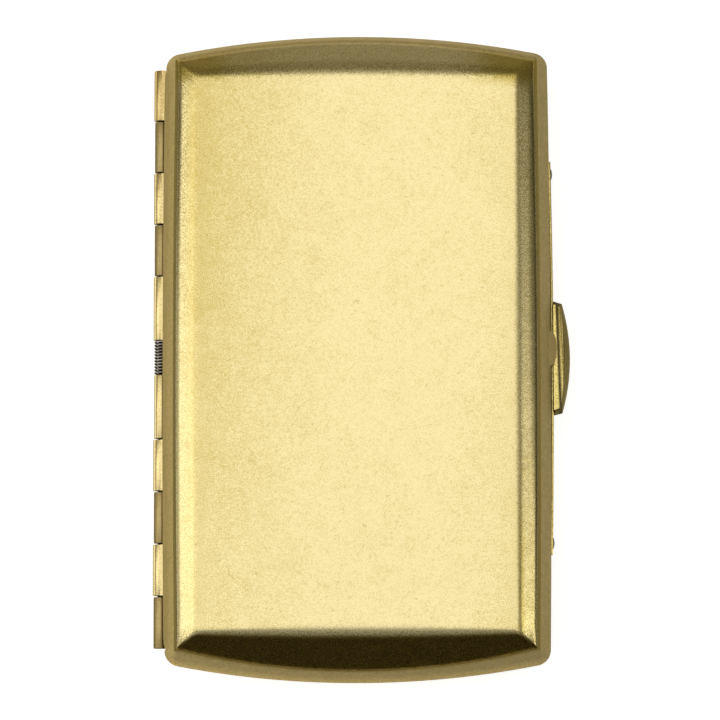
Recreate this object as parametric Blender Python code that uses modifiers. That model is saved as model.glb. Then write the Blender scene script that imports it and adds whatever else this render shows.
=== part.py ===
"""Brass cigarette case: two pressed half shells on a sprung hinge, with a thumb latch and two retaining arms.

Metres, +Z up. The closed case lies on its back, with the hinge at -X and the thumb piece at +X.
The origin is the middle of the base's flat outer face.
"""
import math
from collections import namedtuple

import bmesh
import bpy
from mathutils import Matrix, Vector

# Driving sizes of the two half shells
body_length = 0.0970
body_width = 0.0579
half_height = 0.0090
sheet = 0.0006
rim_gap = 0.0003
side_bow = 0.0003
end_radius = 0.1420
corner_radius = 0.0024
wall_draft = math.radians(15.0)
face_width = 0.0474
face_length = 0.0828
face_end_radius = 10.0
face_corner_radius = 0.0006
far_face_bow = 0.0008
near_face_bow = 0.0001
least_corner = 0.0002
side_slope = math.radians(24.0)
end_slope = math.radians(33.7)
edge_radius = 0.0028
side_crease = 0.0044
end_crease = 0.0052

# The lip on the lid's front rim
lip_width = 0.0053
lip_reach = 0.00098
lip_offset = 0.0012
lip_lift = 0.00005
lip_root = 0.00045

# Hinge: barrel, leaves, pin and the coil that throws the lid open
barrel_outset = 0.00031
lid_knuckle_radius = 0.00110
base_knuckle_radius = 0.00098
bore_radius = 0.00050
pin_radius = 0.00040
pin_inset = 0.00020
pin_bevel = 0.00010
knuckle_length = 0.0076
middle_knuckle_length = 0.0095
knuckle_gap = 0.0002
knuckles_each_way = 5
spring_room = 0.0052
leaf_thickness = 0.0005
leaf_height = 0.0045
leaf_gap = 0.00015
notch_clearance = 0.0003
seam_width = 0.00014
seam_depth = 0.00022
seam_angle = math.radians(105.0)
spring_wire = 0.00028
spring_radius = 0.00070
spring_turns = 6.5
spring_pitch = 0.00071
spring_leg_height = 0.0030
spring_slot_width = 0.0056
spring_slot_height = 0.0036

# Latch: strip, rivets, thumb piece, hook and tongue on the front wall
strip_length = 0.0590
strip_height = 0.0030
strip_thickness = 0.0003
strip_bow = 0.0002
strip_gap = 0.00010
strip_drop = 0.0021
rivet_spacing = 0.0554
rivet_head_radius = 0.00115
rivet_head_height = 0.00045
rivet_shank_radius = 0.00050
rivet_hole_radius = 0.00065
rivet_tail_radius = 0.00090
rivet_tail_height = 0.00030
rivet_seat = 0.00010
thumb_length = 0.0173
thumb_height = 0.0045
thumb_drop = 0.0003
thumb_seat = 0.00015
ledge_inset = 0.00036
thumb_end_reach = 0.00160
thumb_bulge = 0.00130
thumb_edge = 0.00025
thumb_end_round = 0.0011
thumb_blunt_share = 0.95
groove_place = 0.00100
groove_width = 0.00025
groove_depth = 0.0006
groove_lean = math.radians(1.8)
hook_width = 0.0040
hook_thickness = 0.0005
hook_drop = 0.0039
hook_rise = 0.0033
hook_reach = 0.00255
hook_seat = 0.00015
nose_length = 0.00045
nose_height = 0.00045
nose_drop = 0.00025
tongue_width = 0.0060
tongue_thickness = 0.0005
tongue_inset = 0.0015
tongue_below = 0.0027
tongue_above = 0.0029
slot_clearance = 0.0003

# Retaining arm in each half
arm_pivot_inset = 0.00335
arm_pivot_depth = 0.0010
arm_length = 0.0480
arm_width = 0.0088
arm_thickness = 0.0005
arm_eye_radius = 0.00080
arm_bore_radius = 0.00045
arm_pin_radius = 0.00035
arm_lip_rise = 0.00045
arm_lip_length = 0.0009
arm_floor_gap = 0.0003
arm_slot_width = 0.0032
arm_slot_length = 0.0030
lug_thickness = 0.0006
lug_gap = 0.0003
lug_foot_length = 0.0033
lug_foot_height = 0.0035
lug_bore_radius = 0.00040
lug_seat = 0.00015
arm_pin_overhang = 0.0002
arm_wire = 0.00025
arm_coil_radius = 0.00062
arm_coil_turns = 3.25
arm_coil_pitch = 0.00070
arm_leg_length = 0.0046
arm_leg_dip = 0.0003
arm_leg_dip_length = 0.0008
arm_wall_leg = 0.0018

# Shares of a rivet head's radius and height, down its dome
dome_shares = ((0.0, 1.0), (0.45, 0.92), (0.8, 0.62), (0.96, 0.3))

# Steps of the curved outlines
side_steps = 3
corner_steps = 3
end_steps = 5
edge_steps = 3
crease_steps = 2
settle_steps = 12
round_sides = 16
arc_steps = 18
strip_steps = 14
lip_steps = 10
thumb_steps = 12
thumb_levels = 6
coil_points = 9
gap_points = 72

overrun = 0.0010
weld_distance = 0.000001
smooth_angle = math.radians(32.0)

# Places that follow from the sizes
parting = half_height
half_width = body_width / 2
draft = math.tan(wall_draft)
rim_half = rim_gap / 2
barrel_half = (spring_room / 2 + middle_knuckle_length + (knuckles_each_way - 1) * knuckle_length
               + (knuckles_each_way - 1) * knuckle_gap)
hinge_x = -half_width - barrel_outset
leaf_root = -half_width + side_bow + sheet + leaf_gap
notch_half = lid_knuckle_radius + notch_clearance
strip_stand = strip_gap + strip_bow + strip_thickness
arm_pivot_x = -half_width + arm_pivot_inset
quarter_turn = math.pi / 2

# Metals as base colour, roughness and metallic
Metal = namedtuple("Metal", "colour roughness metallic")
brass = Metal((0.72, 0.58, 0.30), 0.35, 1.0)
dull_brass = Metal((0.50, 0.40, 0.20), 0.45, 1.0)
dark_brass = Metal((0.22, 0.16, 0.08), 0.50, 1.0)
steel = Metal((0.55, 0.52, 0.47), 0.30, 1.0)

Form = namedtuple("Form", "half_width half_length end_radius corner top face_x face_y edge creases")
outer_form = Form(half_width, body_length / 2, end_radius, corner_radius, half_height, face_width / 2,
                  face_length / 2, edge_radius, (side_crease, end_crease))
inner_form = Form(half_width - sheet, body_length / 2 - sheet, end_radius - sheet, corner_radius - sheet,
                  half_height - sheet, face_width / 2 - sheet * math.tan(side_slope / 2),
                  face_length / 2 - sheet * math.tan(end_slope / 2), edge_radius - sheet,
                  (side_crease - sheet, end_crease - sheet))


def clear_scene():
    for item in list(bpy.data.objects):
        bpy.data.objects.remove(item, do_unlink=True)


def new_collection(name):
    collection = bpy.data.collections.new(name)
    bpy.context.scene.collection.children.link(collection)
    return collection


def principled(name, metal):
    material = bpy.data.materials.new(name)
    material.use_nodes = True
    shader = material.node_tree.nodes["Principled BSDF"]
    shader.inputs["Base Color"].default_value = (*metal.colour, 1.0)
    shader.inputs["Roughness"].default_value = metal.roughness
    shader.inputs["Metallic"].default_value = metal.metallic
    return material


def piece_from_mesh(name, mesh, metal):
    """A named part of the case with a material of its own."""
    mesh.materials.clear()
    mesh.materials.append(principled(name + "_metal", metal))
    mesh.shade_smooth()
    mesh.set_sharp_from_angle(angle=smooth_angle)
    piece = bpy.data.objects.new(name, mesh)
    case.objects.link(piece)
    return piece


def cutter_from_mesh(name, mesh):
    cutter = bpy.data.objects.new(name, mesh)
    cutter.hide_render = True
    cutter.display_type = "WIRE"
    cutters.objects.link(cutter)
    return cutter


def mesh_from_bmesh(name, bm):
    bmesh.ops.recalc_face_normals(bm, faces=bm.faces)
    mesh = bpy.data.meshes.new(name)
    bm.to_mesh(mesh)
    bm.free()
    return mesh


def mesh_from_curve(name, curve):
    """The curve's evaluated surface as a closed mesh."""
    holder = bpy.data.objects.new(name + "_curve", curve)
    bpy.context.scene.collection.objects.link(holder)
    graph = bpy.context.evaluated_depsgraph_get()
    mesh = bpy.data.meshes.new_from_object(holder.evaluated_get(graph))
    bpy.data.objects.remove(holder, do_unlink=True)
    bm = bmesh.new()
    bm.from_mesh(mesh)
    bmesh.ops.remove_doubles(bm, verts=bm.verts, dist=weld_distance)
    return mesh_from_bmesh(name, bm)


def flat_plate(name, outline, thickness):
    """A flat outline in its own XY plane, with half the thickness on each side of it."""
    curve = bpy.data.curves.new(name, "CURVE")
    curve.dimensions = "2D"
    curve.fill_mode = "BOTH"
    curve.extrude = thickness / 2
    spline = curve.splines.new("POLY")
    spline.points.add(len(outline) - 1)
    for point, place in zip(spline.points, outline):
        point.co = (place[0], place[1], 0.0, 1.0)
    spline.use_cyclic_u = True
    return mesh_from_curve(name, curve)


def wire(name, route, diameter):
    """One unbroken round wire along the route's points."""
    curve = bpy.data.curves.new(name, "CURVE")
    curve.dimensions = "3D"
    curve.bevel_depth = diameter / 2
    curve.bevel_resolution = 1
    curve.use_fill_caps = True
    spline = curve.splines.new("POLY")
    spline.points.add(len(route) - 1)
    for point, place in zip(spline.points, route):
        point.co = (*place, 1.0)
    return mesh_from_curve(name, curve)


def boxes(name, corners):
    """Boxes as one mesh, each given by its low and its high corner."""
    bm = bmesh.new()
    for low, high in corners:
        size = Vector(high) - Vector(low)
        middle = (Vector(high) + Vector(low)) / 2
        bmesh.ops.create_cube(bm, size=1.0, matrix=Matrix.Translation(middle) @ Matrix.Diagonal((*size, 1.0)))
    return mesh_from_bmesh(name, bm)


def rods(name, radius, length, centres, turn):
    """Round rods as one mesh, all turned alike from the Z axis."""
    bm = bmesh.new()
    for centre in centres:
        bmesh.ops.create_cone(bm, cap_ends=True, segments=round_sides, radius1=radius, radius2=radius,
                              depth=length, matrix=Matrix.Translation(centre) @ turn)
    return mesh_from_bmesh(name, bm)


def boolean(piece, other, operation):
    modifier = piece.modifiers.new(operation.lower() + "_" + other.name, "BOOLEAN")
    modifier.operation = operation
    modifier.solver = "EXACT"
    modifier.object = other


def bevel(piece, width, segments):
    modifier = piece.modifiers.new("bevel", "BEVEL")
    modifier.width = width
    modifier.segments = segments
    modifier.limit_method = "ANGLE"
    modifier.angle_limit = smooth_angle


def pivot(name, place, parent=None):
    holder = bpy.data.objects.new(name, None)
    holder.location = place
    case.objects.link(holder)
    if parent:
        hang(holder, parent)
    return holder


def hang(piece, holder):
    """Make the piece ride on the holder, without moving it."""
    piece.parent = holder
    piece.matrix_parent_inverse = Matrix.Translation(-Vector(pivot_places[holder.name]))


def along_y(mesh, place=(0.0, 0.0, 0.0)):
    """Stand a flat outline up: its own X stays, its own Y becomes up, and its thickness lies along Y."""
    mesh.transform(Matrix.Translation(place) @ Matrix.Rotation(quarter_turn, 4, "X"))
    return mesh


# Half shells
def outline(wide, long, radius, bow, corner):
    """The rounded oblong as one closed list of points, from the middle of the +X side towards +Y."""
    corner_x = wide - bow - corner
    arc_y = long - radius
    corner_y = arc_y + math.sqrt((radius - corner) ** 2 - corner_x ** 2)
    lean = math.atan2(corner_y - arc_y, corner_x)
    quarter = []
    for step in range(side_steps):
        share = step / side_steps
        quarter.append((wide - bow * share ** 2, corner_y * share))
    for step in range(corner_steps):
        angle = lean * step / corner_steps
        quarter.append((corner_x + corner * math.cos(angle), corner_y + corner * math.sin(angle)))
    for step in range(end_steps + 1):
        angle = lean + (quarter_turn - lean) * step / end_steps
        quarter.append((radius * math.cos(angle), arc_y + radius * math.sin(angle)))
    back = quarter[:0:-1]
    loop = quarter[:-1] + [(-x, y) for x, y in back]
    return loop + [(-x, -y) for x, y in quarter[:-1]] + [(x, -y) for x, y in back]


def body_outline(form, inset):
    corner = max(form.corner - inset, least_corner)
    return outline(form.half_width - inset, form.half_length - inset, form.end_radius - inset, side_bow, corner)


def face_bow(form, place):
    """How far the flat face's end bows out beyond its corners, at this place across the case."""
    bow = far_face_bow if place[1] > 0 else near_face_bow
    return bow * (1 - (place[0] / form.face_x) ** 2)


def facet_heights(form, place):
    """Heights of the sloping side and end facets over the parting plane, at this place."""
    side = form.top - math.tan(side_slope) * (abs(place[0]) - form.face_x)
    end = form.top - math.tan(end_slope) * (abs(place[1]) - form.face_y - face_bow(form, place))
    return side, end


def face_outline(form, inset, corner):
    """The flat face's outline, or one drawn in by an inset, with its bowed ends."""
    places = outline(form.face_x - inset, form.face_y - inset, face_end_radius, 0.0, corner)
    return [(x, y + math.copysign(face_bow(form, (x, y)), y)) for x, y in places]


def rounded(before, corner, after, radius, steps):
    """Points that round the corner off between two straight stretches."""
    back = before - corner
    on = after - corner
    turn = math.pi - back.angle(on)
    tangent = min(radius * math.tan(turn / 2), back.length / 2, on.length / 2)
    start = corner + back.normalized() * tangent
    end = corner + on.normalized() * tangent
    points = []
    for step in range(steps + 1):
        share = step / steps
        points.append(start.lerp(corner, share).lerp(corner.lerp(end, share), share))
    return points


def column(form, index, face_point, inner_point):
    """The shell's profile from the rim to the flat face at one place on its outline."""
    inset = 0.0
    for _ in range(settle_steps):
        place = body_outline(form, inset)[index]
        side, end = facet_heights(form, place)
        inset = min(side, end) * draft
    edge = Vector((*place, min(side, end)))
    crease_radius = form.creases[end < side]
    rim = Vector((*body_outline(form, rim_half * draft)[index], rim_half))
    crease = Vector((*face_point, form.top))
    inward = Vector((*inner_point, form.top))
    return [rim, *rounded(rim, edge, crease, form.edge, edge_steps),
            *rounded(edge, crease, inward, crease_radius, crease_steps)]


def profile_rings(form):
    """Rings of points from the rim up to the flat face."""
    face = face_outline(form, 0.0, face_corner_radius)
    inner = face_outline(form, end_crease, least_corner)
    columns = [column(form, index, face[index], inner[index]) for index in range(len(face))]
    return list(zip(*columns))


def bridge(bm, ring, other):
    for index in range(len(ring)):
        bm.faces.new((ring[index - 1], ring[index], other[index], other[index - 1]))


def half_shell(name, side, metal):
    """One pressed half: side is 1 for the lid and -1 for the base."""
    bm = bmesh.new()
    skins = []
    for form in (outer_form, inner_form):
        skins.append([[bm.verts.new((x, y, parting + side * height)) for x, y, height in ring]
                      for ring in profile_rings(form)])
    for skin in skins:
        for ring, other in zip(skin, skin[1:]):
            bridge(bm, ring, other)
        bm.faces.new(skin[-1])
    bridge(bm, skins[0][0], skins[1][0])
    return piece_from_mesh(name, mesh_from_bmesh(name, bm), metal)


def lid_lip():
    """The half-round lip on the lid's front rim, for the thumb nail."""
    half = lip_width / 2
    points = [(half_width - lip_root, lip_offset + half), (half_width - lip_root, lip_offset - half)]
    for step in range(lip_steps + 1):
        share = 2 * step / lip_steps - 1
        points.append((half_width - rim_half + lip_reach * (1 - share ** 2), lip_offset + half * share))
    mesh = flat_plate("lip", points, sheet)
    mesh.transform(Matrix.Translation((0.0, 0.0, parting + rim_half + lip_lift + sheet / 2)))
    return cutter_from_mesh("lip", mesh)


# Hinge
def knuckle_spans(of_lid):
    """The stretches of the barrel that belong to the lid's or to the base's leaf, in order along Y."""
    spans = []
    for way in (1, -1):
        start = spring_room / 2
        for index in range(knuckles_each_way):
            length = knuckle_length if index else middle_knuckle_length
            if ((index % 2 == 0) == (way > 0)) == of_lid:
                spans.append(tuple(sorted((way * start, way * (start + length)))))
            start += length + knuckle_gap
    return sorted(spans)


def leaf_face(height):
    """Outer face of a leaf at a height off the parting plane: it leans with the wall."""
    return leaf_root + draft * height


def leaf_outline(radius, side):
    """Section of a leaf: the strip on the wall, the web over the pin and the rolled knuckle."""
    web = radius - leaf_thickness
    points = [(leaf_face(rim_half) + leaf_thickness, rim_half),
              (leaf_face(leaf_height) + leaf_thickness, leaf_height),
              (leaf_face(leaf_height), leaf_height), (leaf_face(radius), radius)]
    finish = 2 * math.pi + math.asin(web / radius)
    for step in range(arc_steps + 1):
        angle = quarter_turn + (finish - quarter_turn) * step / arc_steps
        points.append((hinge_x + radius * math.cos(angle), radius * math.sin(angle)))
    points += [(leaf_face(web), web), (leaf_face(rim_half), rim_half)]
    return [(x, parting + side * height) for x, height in points]


def hinge_leaf(name, radius, side, metal):
    mesh = along_y(flat_plate(name, leaf_outline(radius, side), 2 * barrel_half))
    leaf = piece_from_mesh(name, mesh, metal)
    turn = Matrix.Rotation(quarter_turn, 4, "X")
    bore = rods(name + "_bore", bore_radius, 2 * (barrel_half + overrun), [(hinge_x, 0.0, parting)], turn)
    boolean(leaf, cutter_from_mesh(name + "_bore", bore), "DIFFERENCE")
    boolean(leaf, cutter_from_mesh(name + "_gaps", knuckle_gaps(name, radius, side)), "DIFFERENCE")
    slot_high = parting + side * spring_slot_height
    slot = boxes(name + "_slot", [((hinge_x, -spring_slot_width / 2, min(parting, slot_high)),
                                   (leaf_face(leaf_height) + leaf_thickness + overrun, spring_slot_width / 2,
                                    max(parting, slot_high)))])
    boolean(leaf, cutter_from_mesh(name + "_slot", slot), "DIFFERENCE")
    return leaf


def knuckle_gaps(name, radius, side):
    """Everything of the barrel that isn't this leaf's own knuckles, as boxes."""
    edges = [-barrel_half - overrun]
    for start, end in knuckle_spans(side > 0):
        edges += [start, end]
    edges.append(barrel_half + overrun)
    reach = leaf_face((radius + rim_half) / 2)
    corners = []
    for start, end in zip(edges[::2], edges[1::2]):
        if end - start > overrun + knuckle_gap:
            corners.append(((hinge_x - radius - overrun, start, parting - radius - overrun),
                            (reach, end, parting + radius + overrun)))
    return boxes(name + "_gaps", corners)


def knuckle_seam():
    """The thin groove where the base leaf's rolled edge ends, along the whole barrel."""
    seam = boxes("seam", [((-seam_depth / 2, -barrel_half - overrun, -seam_width / 2),
                           (seam_depth / 2 + overrun, barrel_half + overrun, seam_width / 2))])
    out = base_knuckle_radius - seam_depth / 2
    place = Matrix.Translation((hinge_x, 0.0, parting)) @ Matrix.Rotation(-seam_angle, 4, "Y")
    seam.transform(place @ Matrix.Translation((out, 0.0, 0.0)))
    return cutter_from_mesh("seam", seam)


def hinge_pin():
    length = 2 * (barrel_half - pin_inset)
    mesh = rods("hinge_pin", pin_radius, length, [(0.0, 0.0, 0.0)], Matrix.Rotation(quarter_turn, 4, "X"))
    pin = piece_from_mesh("hinge_pin", mesh, steel)
    pin.location = (hinge_x, 0.0, parting)
    bevel(pin, pin_bevel, 1)
    return pin


def hinge_spring_route(points_each_turn):
    """The hinge coil: a leg up the lid's wall, the turns round the pin, a leg down the base's wall."""
    length = spring_turns * spring_pitch
    half = length / 2
    wall_line = -half_width + sheet + leaf_gap + spring_wire / 2
    corner = wall_line + draft * notch_half
    tip = wall_line + draft * spring_leg_height
    route = [(tip, half, spring_leg_height), (corner, half, notch_half),
             (corner - spring_wire, half, spring_radius)]
    count = round(spring_turns * points_each_turn)
    for step in range(count + 1):
        angle = quarter_turn + 2 * math.pi * spring_turns * step / count
        route.append((hinge_x + spring_radius * math.cos(angle), half - length * step / count,
                      spring_radius * math.sin(angle)))
    route += [(x, -y, -height) for x, y, height in route[2::-1]]
    return [(x, y, parting + height) for x, y, height in route]


def least_gap(route, wire_size, points_each_turn):
    """The smallest gap between stretches of a wire that are at least half a turn apart."""
    apart = points_each_turn // 2
    least = math.inf
    for index, place in enumerate(route):
        for other in route[index + apart:]:
            least = min(least, math.dist(place, other))
    return least - wire_size


def hinge_spring():
    mesh = wire("hinge_spring", hinge_spring_route(coil_points), spring_wire)
    gap = least_gap(hinge_spring_route(gap_points), spring_wire, gap_points)
    print(f"hinge_spring: least gap to itself {gap * 1000:.3f} mm")
    return piece_from_mesh("hinge_spring", mesh, steel)


# Latch
def wall_x(drop):
    """Outer face of the base's front wall at its middle, at a depth below the parting plane."""
    return half_width - draft * drop


def wall_recess(y):
    """How far the bowed wall lies behind its middle at this place along the length."""
    return side_bow * (y / (body_length / 2)) ** 2


def wall_frame(drop):
    """On the wall's outer face: X points out of the wall, Y along it and Z up it."""
    return Matrix.Translation((wall_x(drop), 0.0, parting - drop)) @ Matrix.Rotation(wall_draft, 4, "Y")


def strip_back(y):
    """Back face of the bowed strip, over the wall's face at its middle."""
    return strip_gap + strip_bow * (1 - (2 * y / strip_length) ** 2) - wall_recess(y)


def latch_strip():
    places = [strip_length * (step / strip_steps - 1 / 2) for step in range(strip_steps + 1)]
    points = [(strip_back(y), y) for y in places]
    points += [(strip_back(y) + strip_thickness, y) for y in reversed(places)]
    mesh = flat_plate("latch_strip", points, strip_height)
    mesh.transform(wall_frame(strip_drop))
    strip = piece_from_mesh("latch_strip", mesh, brass)
    boolean(strip, rivet_holes, "DIFFERENCE")
    return strip


def make_rivet_holes():
    centres = [(0.0, way * rivet_spacing / 2, 0.0) for way in (1, -1)]
    mesh = rods("rivet_holes", rivet_hole_radius, 2 * (sheet + rivet_head_radius), centres,
                Matrix.Rotation(quarter_turn, 4, "Y"))
    mesh.transform(wall_frame(strip_drop))
    return cutter_from_mesh("rivet_holes", mesh)


def turned(name, profile, metal):
    """A turned piece from its profile, which runs down its outer side from the axis to the axis."""
    mesh = bpy.data.meshes.new(name)
    mesh.from_pydata([(radius, 0.0, height) for radius, height in profile],
                     [(index, index + 1) for index in range(len(profile) - 1)], [])
    piece = piece_from_mesh(name, mesh, metal)
    modifier = piece.modifiers.new("screw", "SCREW")
    modifier.steps = round_sides
    modifier.render_steps = round_sides
    modifier.use_merge_vertices = True
    modifier.merge_threshold = weld_distance
    modifier.use_smooth_shade = True
    return piece


def latch_rivet(name, way):
    """A rivet through an end of the strip and the base's wall, with a low round head outside."""
    place = rivet_spacing / 2
    seat = strip_back(place) + strip_thickness + rivet_seat
    inside = -wall_recess(place) - sheet - leaf_gap
    profile = [(rivet_head_radius * wide, seat + rivet_head_height * high) for wide, high in dome_shares]
    profile += [(rivet_head_radius, seat), (rivet_shank_radius, seat), (rivet_shank_radius, inside),
                (rivet_tail_radius, inside), (rivet_tail_radius, inside - rivet_tail_height),
                (0.0, inside - rivet_tail_height)]
    rivet = turned(name, profile, dark_brass)
    rivet.location = (wall_x(strip_drop), way * place, parting - strip_drop)
    rivet.rotation_euler = (0.0, quarter_turn + wall_draft, 0.0)


def thumb_back(drop):
    """Back face of the thumb piece, which leans with the strip that carries it."""
    return wall_x(drop) + (strip_stand + thumb_seat) / math.cos(wall_draft)


def thumb_ring(share):
    """The thumb piece's outline at one level: share runs from -1 at its foot to 1 at its ledge."""
    drop = thumb_drop + thumb_height * (1 - share) / 2
    back = thumb_back(drop) if share < 1 else half_width + ledge_inset
    fullness = math.sqrt(1 - (thumb_blunt_share * share) ** 2)
    end = half_width + thumb_end_reach - thumb_edge * (1 - fullness)
    half = thumb_length / 2 - thumb_end_round * (1 - fullness)
    points = [(back, -half), (back, half)]
    for step in range(thumb_steps + 1):
        along = 1 - 2 * step / thumb_steps
        points.append((end + thumb_bulge * fullness * (1 - along ** 2), half * along))
    return [(x, y, parting - drop) for x, y in points]


def thumb_piece():
    bm = bmesh.new()
    shares = [math.sin(quarter_turn * (2 * level / thumb_levels - 1)) for level in range(thumb_levels + 1)]
    rings = [[bm.verts.new(place) for place in thumb_ring(share)] for share in shares]
    for ring, other in zip(rings, rings[1:]):
        bridge(bm, ring, other)
    bm.faces.new(rings[0])
    bm.faces.new(rings[-1])
    piece = piece_from_mesh("thumb_piece", mesh_from_bmesh("thumb_piece", bm), brass)
    groove = boxes("groove", [((-groove_width / 2, -thumb_length, -groove_depth),
                               (groove_width / 2, thumb_length, overrun))])
    place = Matrix.Translation((half_width + groove_place + groove_width / 2, 0.0, parting - thumb_drop))
    groove.transform(place @ Matrix.Rotation(groove_lean, 4, "Z"))
    boolean(piece, cutter_from_mesh("groove", groove), "DIFFERENCE")
    return piece


def hook_back():
    return half_width - hook_reach - hook_thickness


def latch_hook():
    """The hook on the thumb piece's back: a shank through the wall, and an upturned end with its nose."""
    low = parting - hook_drop - hook_thickness
    top = low + hook_rise
    back = hook_back()
    front = back + hook_thickness
    nose_top = top - nose_drop
    points = [(back, low), (thumb_back(hook_drop) - hook_seat, low),
              (thumb_back(hook_drop) - hook_seat, low + hook_thickness), (front, low + hook_thickness),
              (front, nose_top - nose_height), (front + nose_length, nose_top - nose_height),
              (front + nose_length, nose_top), (front, top), (back, top)]
    return piece_from_mesh("latch_hook", along_y(flat_plate("latch_hook", points, hook_width)), steel)


def hook_window():
    """The window in the base's front wall that the hook's shank passes through."""
    low = (hook_back() + hook_thickness, -hook_width / 2 - slot_clearance, parting - hook_drop - hook_thickness
           - slot_clearance)
    high = (half_width + overrun, hook_width / 2 + slot_clearance, parting - hook_drop + slot_clearance)
    return cutter_from_mesh("hook_window", boxes("hook_window", [(low, high)]))


def lid_catch():
    """The tongue inside the lid's front wall, with the window that takes the hook's nose."""
    front = half_width - tongue_inset
    corners = [((front - tongue_thickness, -tongue_width / 2, parting - tongue_below),
                (front, tongue_width / 2, parting + tongue_above))]
    tongue = piece_from_mesh("lid_catch", boxes("lid_catch", corners), brass)
    nose_top = parting - hook_drop - hook_thickness + hook_rise - nose_drop
    low = (front - tongue_thickness - overrun, -hook_width / 2 - slot_clearance,
           nose_top - nose_height - slot_clearance)
    high = (front + overrun, hook_width / 2 + slot_clearance, nose_top + slot_clearance)
    boolean(tongue, cutter_from_mesh("tongue_window", boxes("tongue_window", [(low, high)])), "DIFFERENCE")
    return tongue


# Retaining arms
def arm_droop():
    """How far an arm slopes from its pivot to the floor of its half."""
    fall = half_height - sheet - arm_pivot_depth + arm_eye_radius - arm_thickness - arm_floor_gap
    return math.asin(fall / arm_length)


def arm_outline():
    """Section of an arm when it lies level: eye, flat blade along the eye's top, and turned-up tip."""
    under = arm_eye_radius - arm_thickness
    tip = arm_length
    bend = tip - arm_lip_length
    points = [(0.0, arm_eye_radius), (bend, arm_eye_radius),
              (tip - arm_thickness / 2, arm_eye_radius + arm_lip_rise),
              (tip, under + arm_lip_rise), (bend + arm_thickness / 2, under)]
    start = math.asin(under / arm_eye_radius)
    for step in range(arc_steps):
        angle = start - (start + 3 * quarter_turn) * step / arc_steps
        points.append((arm_eye_radius * math.cos(angle), arm_eye_radius * math.sin(angle)))
    return points


def retainer_arm(name, side):
    """The base's arm has its eye above the blade's foot, and the lid's arm is its mirror image."""
    points = [(x, -side * height) for x, height in arm_outline()]
    arm = piece_from_mesh(name, along_y(flat_plate(name, points, arm_width)), brass)
    turn = Matrix.Rotation(quarter_turn, 4, "X")
    bore = rods(name + "_bore", arm_bore_radius, arm_width + overrun, [(0.0, 0.0, 0.0)], turn)
    slot = boxes(name + "_slot", [((-arm_eye_radius - overrun, -arm_slot_width / 2, -arm_eye_radius - overrun),
                                   (arm_slot_length, arm_slot_width / 2, arm_eye_radius + overrun))])
    for cutter in (cutter_from_mesh(name + "_bore", bore), cutter_from_mesh(name + "_slot", slot)):
        boolean(arm, cutter, "DIFFERENCE")
        place_at_pivot(cutter, side)
    place_at_pivot(arm, side)
    return arm


def arm_pivot_place(side):
    return Vector((arm_pivot_x, 0.0, parting + side * arm_pivot_depth))


def place_at_pivot(piece, side):
    piece.location = arm_pivot_place(side)
    piece.rotation_euler = (0.0, -side * arm_droop(), 0.0)


def lug_line(height):
    """Face of the leaf that a lug is soldered to, with the solder's gap."""
    return leaf_face(height) + leaf_thickness + lug_seat


def lug_profiles():
    """A lug's section as heights off the parting plane, and the cut beyond the ear that leaves its foot."""
    high = arm_pivot_depth - arm_eye_radius
    low = high + lug_foot_height
    whole = [(lug_line(high), high), (lug_line(low), low)]
    for step in range(arc_steps // 2 + 1):
        angle = quarter_turn / 2 - (quarter_turn * 3 / 2) * step / (arc_steps // 2)
        whole.append((arm_pivot_x + arm_eye_radius * math.cos(angle), arm_pivot_depth + arm_eye_radius
                      * math.sin(angle)))
    over, under = high - overrun, low + overrun
    front = arm_pivot_x + arm_eye_radius + overrun
    cut = [(lug_line(over) + lug_thickness, over), (lug_line(under) + lug_thickness, under), (front, under),
           (front, over)]
    return whole, cut


def retainer_lug(name, side, way):
    """A lug soldered to the leaf beside the arm's eye: way is 1 for the one at +Y and -1 for its twin."""
    whole, cut = lug_profiles()
    start = arm_width / 2 + lug_gap
    cut_length = lug_foot_length - lug_thickness + overrun
    whole = [(x, parting + side * height) for x, height in whole]
    cut = [(x, parting + side * height) for x, height in cut]
    whole_place = (0.0, way * (start + lug_foot_length / 2), 0.0)
    cut_place = (0.0, way * (start + lug_thickness + cut_length / 2), 0.0)
    lug = piece_from_mesh(name, along_y(flat_plate(name, whole, lug_foot_length), whole_place), brass)
    step = cutter_from_mesh(name + "_step", along_y(flat_plate(name + "_step", cut, cut_length), cut_place))
    boolean(lug, step, "DIFFERENCE")
    bore = rods(name + "_bore", lug_bore_radius, 2 * (start + lug_thickness + overrun), [arm_pivot_place(side)],
                Matrix.Rotation(quarter_turn, 4, "X"))
    boolean(lug, cutter_from_mesh(name + "_bore", bore), "DIFFERENCE")
    return lug


def retainer_pin(name, side):
    length = arm_width + 2 * (lug_gap + lug_thickness + arm_pin_overhang)
    mesh = rods(name, arm_pin_radius, length, [(0.0, 0.0, 0.0)], Matrix.Rotation(quarter_turn, 4, "X"))
    pin = piece_from_mesh(name, mesh, steel)
    pin.location = arm_pivot_place(side)
    bevel(pin, pin_bevel, 1)
    return pin


def arm_spring_route(points_each_turn):
    """The arm's coil: a leg over the blade, the turns round the pin, and a leg down the leaf."""
    half = arm_coil_turns * arm_coil_pitch / 2
    route = [(arm_leg_length, half, arm_coil_radius - arm_leg_dip),
             (arm_leg_length - arm_leg_dip_length, half, arm_coil_radius)]
    count = round(arm_coil_turns * points_each_turn)
    for step in range(count + 1):
        angle = quarter_turn + 2 * math.pi * arm_coil_turns * step / count
        route.append((arm_coil_radius * math.cos(angle), half - 2 * half * step / count,
                      arm_coil_radius * math.sin(angle)))
    route.append((-arm_coil_radius, -half, -arm_wall_leg))
    return route


def retainer_spring(name, side):
    route = [(x, y, -side * height) for x, y, height in arm_spring_route(coil_points)]
    gap = least_gap(arm_spring_route(gap_points), arm_wire, gap_points)
    print(f"{name}: least gap to itself {gap * 1000:.3f} mm")
    spring = piece_from_mesh(name, wire(name, route, arm_wire), steel)
    spring.location = arm_pivot_place(side)
    return spring


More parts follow.
